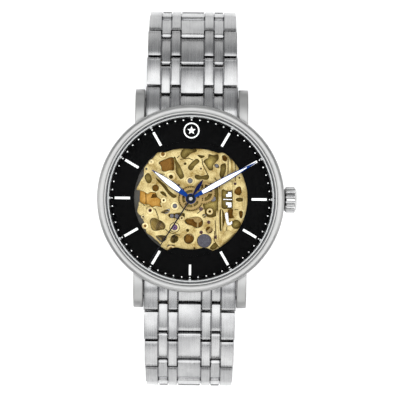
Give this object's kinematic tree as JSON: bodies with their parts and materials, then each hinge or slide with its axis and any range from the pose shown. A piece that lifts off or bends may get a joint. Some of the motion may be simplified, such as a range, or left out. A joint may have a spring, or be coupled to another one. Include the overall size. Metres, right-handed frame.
{
  "type": "skeleton wristwatch",
  "caption": "Round steel automatic wristwatch with a cut-out black dial over a gold-tone movement, blued hands and a multi-column link bracelet on a folding clasp.",
  "frame": {"origin": "on the flat outer face of the folding clasp, straight under the dial's centre, so the watch stands on z = 0 with its dial up", "axes": "+Z out of the dial, +X to 3 o'clock and the crown, +Y to 12 o'clock"},
  "size_m": [0.0434, 0.0836, 0.0472],
  "materials": {
    "steel_polished": "polished stainless steel",
    "steel_brushed": "brushed stainless steel",
    "movement_steel": "ground and polished steel",
    "dial_black": "satin black lacquer",
    "gold_plate": "gold-tone plating with fine graining",
    "wheel_brass": "brass, circular grained",
    "blued_steel": "blued steel",
    "white_print": "white luminous paint",
    "ruby": "synthetic ruby",
    "crystal": "clear mineral glass",
    "rubber": "black rubber",
    "holder": "moulded plastic"
  },
  "bodies": {
    "case": {"mid_case": "steel_polished", "bezel": "steel_polished", "crystal": "crystal", "crystal_gasket": "rubber", "flange_ring": "steel_polished", "dial": "dial_black", "case_back": "steel_polished", "case_back_glass": "crystal", "back_gasket": "rubber", "movement_holder": "holder", "crown_tube": "steel_polished", "spring_bar_12": "movement_steel", "spring_bar_6": "movement_steel", "end_link_12": "steel_brushed", "end_link_6": "steel_brushed", "main_plate": "gold_plate", "train_bridge": "gold_plate", "balance_cock": "gold_plate"},
    "crown_pull": {"setting_lever": "movement_steel"},
    "crown": {"crown": "steel_polished", "winding_stem": "movement_steel"},
    "ratchet": {"ratchet_wheel": "movement_steel"},
    "barrel": {"barrel": "wheel_brass", "mainspring": "movement_steel"},
    "minutes": {"center_wheel": "wheel_brass", "minute_hand": "blued_steel"},
    "third": {"third_wheel": "wheel_brass"},
    "seconds": {"fourth_wheel": "wheel_brass", "seconds_hand": "movement_steel"},
    "escape": {"escape_wheel": "movement_steel"},
    "pallet": {"pallet_fork": "movement_steel"},
    "balance": {"balance_wheel": "wheel_brass", "hairspring": "blued_steel"},
    "minute_works": {"minute_wheel": "wheel_brass"},
    "hours": {"hour_wheel": "wheel_brass", "hour_hand": "blued_steel"},
    "rotor": {"rotor": "movement_steel"},
    "link_12_1": {"link_12_1": "steel_brushed"},
    "link_12_2": {"link_12_2": "steel_brushed"},
    "link_12_3": {"link_12_3": "steel_brushed"},
    "link_12_4": {"link_12_4": "steel_brushed"},
    "link_12_5": {"link_12_5": "steel_brushed"},
    "link_12_6": {"link_12_6": "steel_brushed"},
    "link_12_7": {"link_12_7": "steel_brushed"},
    "link_12_8": {"link_12_8": "steel_brushed"},
    "link_12_9": {"link_12_9": "steel_brushed"},
    "link_6_1": {"link_6_1": "steel_brushed"},
    "link_6_2": {"link_6_2": "steel_brushed"},
    "link_6_3": {"link_6_3": "steel_brushed"},
    "link_6_4": {"link_6_4": "steel_brushed"},
    "link_6_5": {"link_6_5": "steel_brushed"},
    "link_6_6": {"link_6_6": "steel_brushed"},
    "link_6_7": {"link_6_7": "steel_brushed"},
    "link_6_8": {"link_6_8": "steel_brushed"},
    "link_6_9": {"link_6_9": "steel_brushed"},
    "clasp_inner": {"clasp_inner_blade": "steel_brushed"},
    "clasp_middle": {"clasp_middle_blade": "steel_brushed"},
    "clasp_cover": {"clasp_cover": "steel_brushed"},
    "button_left": {"clasp_button_left": "steel_brushed"},
    "button_right": {"clasp_button_right": "steel_brushed"}
  },
  "joints": [
    {"name": "crown_pull", "type": "slide", "parent": "case", "child": "crown_pull", "axis": [1, 0, 0], "range_m": [0, 0.001]},
    {"name": "crown_turn", "type": "hinge", "parent": "crown_pull", "child": "crown", "pos_m": [0.02035, 0, 0.0411], "axis": [1, 0, 0], "continuous": true},
    {"name": "ratchet_turn", "type": "hinge", "parent": "case", "child": "ratchet", "pos_m": [-0.00266, 0.00571, 0.0392], "axis": [0, 0, -1], "continuous": true},
    {"name": "seconds_turn", "type": "hinge", "parent": "case", "child": "seconds", "pos_m": [0, 0, 0.0402], "axis": [0, 0, -1], "continuous": true},
    {"name": "third_turn", "type": "hinge", "parent": "case", "child": "third", "pos_m": [0.00154, -0.00423, 0.0405], "axis": [0, 0, -1], "continuous": true},
    {"name": "minutes_turn", "type": "hinge", "parent": "case", "child": "minutes", "pos_m": [0, 0, 0.0415], "axis": [0, 0, -1], "continuous": true},
    {"name": "barrel_turn", "type": "hinge", "parent": "case", "child": "barrel", "pos_m": [-0.00266, 0.00571, 0.0407], "axis": [0, 0, -1], "continuous": true},
    {"name": "escape_turn", "type": "hinge", "parent": "case", "child": "escape", "pos_m": [-0.00306, -0.00257, 0.0407], "axis": [0, 0, -1], "continuous": true},
    {"name": "minute_works_turn", "type": "hinge", "parent": "case", "child": "minute_works", "pos_m": [0.00281, 0.00131, 0.0427], "axis": [0, 0, -1], "continuous": true},
    {"name": "hours_turn", "type": "hinge", "parent": "case", "child": "hours", "pos_m": [0, 0, 0.0429], "axis": [0, 0, -1], "continuous": true},
    {"name": "pallet_rock", "type": "hinge", "parent": "case", "child": "pallet", "pos_m": [-0.00415, -0.00472, 0.0407], "axis": [0, 0, 1], "range_deg": [-5, 5]},
    {"name": "balance_swing", "type": "hinge", "parent": "case", "child": "balance", "pos_m": [-0.0052, -0.0066, 0.0401], "axis": [0, 0, 1], "range_deg": [-280, 280], "stiffness_Nm_per_rad": 0.0000004},
    {"name": "rotor_turn", "type": "hinge", "parent": "case", "child": "rotor", "pos_m": [0, 0, 0.03845], "axis": [0, 0, 1], "continuous": true},
    {"name": "link_12_1_hinge", "type": "hinge", "parent": "case", "child": "link_12_1", "pos_m": [0, 0.0232, 0.0396], "axis": [1, 0, 0], "range_deg": [0, 16]},
    {"name": "link_12_2_hinge", "type": "hinge", "parent": "link_12_1", "child": "link_12_2", "pos_m": [0, 0.02956, 0.03825], "axis": [1, 0, 0], "range_deg": [0, 17]},
    {"name": "link_12_3_hinge", "type": "hinge", "parent": "link_12_2", "child": "link_12_3", "pos_m": [0, 0.03545, 0.0355], "axis": [1, 0, 0], "range_deg": [0, 33]},
    {"name": "link_12_4_hinge", "type": "hinge", "parent": "link_12_3", "child": "link_12_4", "pos_m": [0, 0.03927, 0.03024], "axis": [1, 0, 0], "range_deg": [0, 27]},
    {"name": "link_12_5_hinge", "type": "hinge", "parent": "link_12_4", "child": "link_12_5", "pos_m": [0, 0.04073, 0.02391], "axis": [1, 0, 0], "range_deg": [0, 24]},
    {"name": "link_12_6_hinge", "type": "hinge", "parent": "link_12_5", "child": "link_12_6", "pos_m": [0, 0.03994, 0.01746], "axis": [1, 0, 0], "range_deg": [0, 22]},
    {"name": "link_12_7_hinge", "type": "hinge", "parent": "link_12_6", "child": "link_12_7", "pos_m": [0, 0.03719, 0.01157], "axis": [1, 0, 0], "range_deg": [0, 22]},
    {"name": "link_12_8_hinge", "type": "hinge", "parent": "link_12_7", "child": "link_12_8", "pos_m": [0, 0.03276, 0.00681], "axis": [1, 0, 0], "range_deg": [0, 22]},
    {"name": "link_12_9_hinge", "type": "hinge", "parent": "link_12_8", "child": "link_12_9", "pos_m": [0, 0.02707, 0.00366], "axis": [1, 0, 0], "range_deg": [0, 20]},
    {"name": "link_6_1_hinge", "type": "hinge", "parent": "case", "child": "link_6_1", "pos_m": [0, -0.0232, 0.0396], "axis": [-1, 0, 0], "range_deg": [0, 16]},
    {"name": "link_6_2_hinge", "type": "hinge", "parent": "link_6_1", "child": "link_6_2", "pos_m": [0, -0.02956, 0.03825], "axis": [-1, 0, 0], "range_deg": [0, 17]},
    {"name": "link_6_3_hinge", "type": "hinge", "parent": "link_6_2", "child": "link_6_3", "pos_m": [0, -0.03545, 0.0355], "axis": [-1, 0, 0], "range_deg": [0, 33]},
    {"name": "link_6_4_hinge", "type": "hinge", "parent": "link_6_3", "child": "link_6_4", "pos_m": [0, -0.03927, 0.03024], "axis": [-1, 0, 0], "range_deg": [0, 27]},
    {"name": "link_6_5_hinge", "type": "hinge", "parent": "link_6_4", "child": "link_6_5", "pos_m": [0, -0.04073, 0.02391], "axis": [-1, 0, 0], "range_deg": [0, 24]},
    {"name": "link_6_6_hinge", "type": "hinge", "parent": "link_6_5", "child": "link_6_6", "pos_m": [0, -0.03994, 0.01746], "axis": [-1, 0, 0], "range_deg": [0, 22]},
    {"name": "link_6_7_hinge", "type": "hinge", "parent": "link_6_6", "child": "link_6_7", "pos_m": [0, -0.03719, 0.01157], "axis": [-1, 0, 0], "range_deg": [0, 22]},
    {"name": "link_6_8_hinge", "type": "hinge", "parent": "link_6_7", "child": "link_6_8", "pos_m": [0, -0.03276, 0.00681], "axis": [-1, 0, 0], "range_deg": [0, 22]},
    {"name": "link_6_9_hinge", "type": "hinge", "parent": "link_6_8", "child": "link_6_9", "pos_m": [0, -0.02707, 0.00366], "axis": [-1, 0, 0], "range_deg": [0, 20]},
    {"name": "clasp_inner_hinge", "type": "hinge", "parent": "link_6_9", "child": "clasp_inner", "pos_m": [0, -0.02074, 0.0022], "axis": [-1, 0, 0], "range_deg": [0, 80]},
    {"name": "clasp_middle_hinge", "type": "hinge", "parent": "clasp_inner", "child": "clasp_middle", "pos_m": [0, 0.0176, 0.00225], "axis": [1, 0, 0], "range_deg": [0, 100]},
    {"name": "clasp_cover_hinge", "type": "hinge", "parent": "clasp_middle", "child": "clasp_cover", "pos_m": [0, -0.0183, 0.00145], "axis": [-1, 0, 0], "range_deg": [0, 120]},
    {"name": "button_left_press", "type": "slide", "parent": "clasp_cover", "child": "button_left", "axis": [1, 0, 0], "range_m": [0, 0.0007], "stiffness_N_per_m": 300},
    {"name": "button_right_press", "type": "slide", "parent": "clasp_cover", "child": "button_right", "axis": [-1, 0, 0], "range_m": [0, 0.0007], "stiffness_N_per_m": 300}
  ],
  "couplings": [
    {"joint": "third_turn", "follows": "seconds_turn", "ratio": -0.13333},
    {"joint": "minutes_turn", "follows": "seconds_turn", "ratio": 0.016667},
    {"joint": "barrel_turn", "follows": "seconds_turn", "ratio": -0.0027778},
    {"joint": "escape_turn", "follows": "seconds_turn", "ratio": -9},
    {"joint": "minute_works_turn", "follows": "seconds_turn", "ratio": -0.0055556},
    {"joint": "hours_turn", "follows": "seconds_turn", "ratio": 0.0013889},
    {"joint": "ratchet_turn", "follows": "crown_turn", "ratio": 0.4}
  ]
}
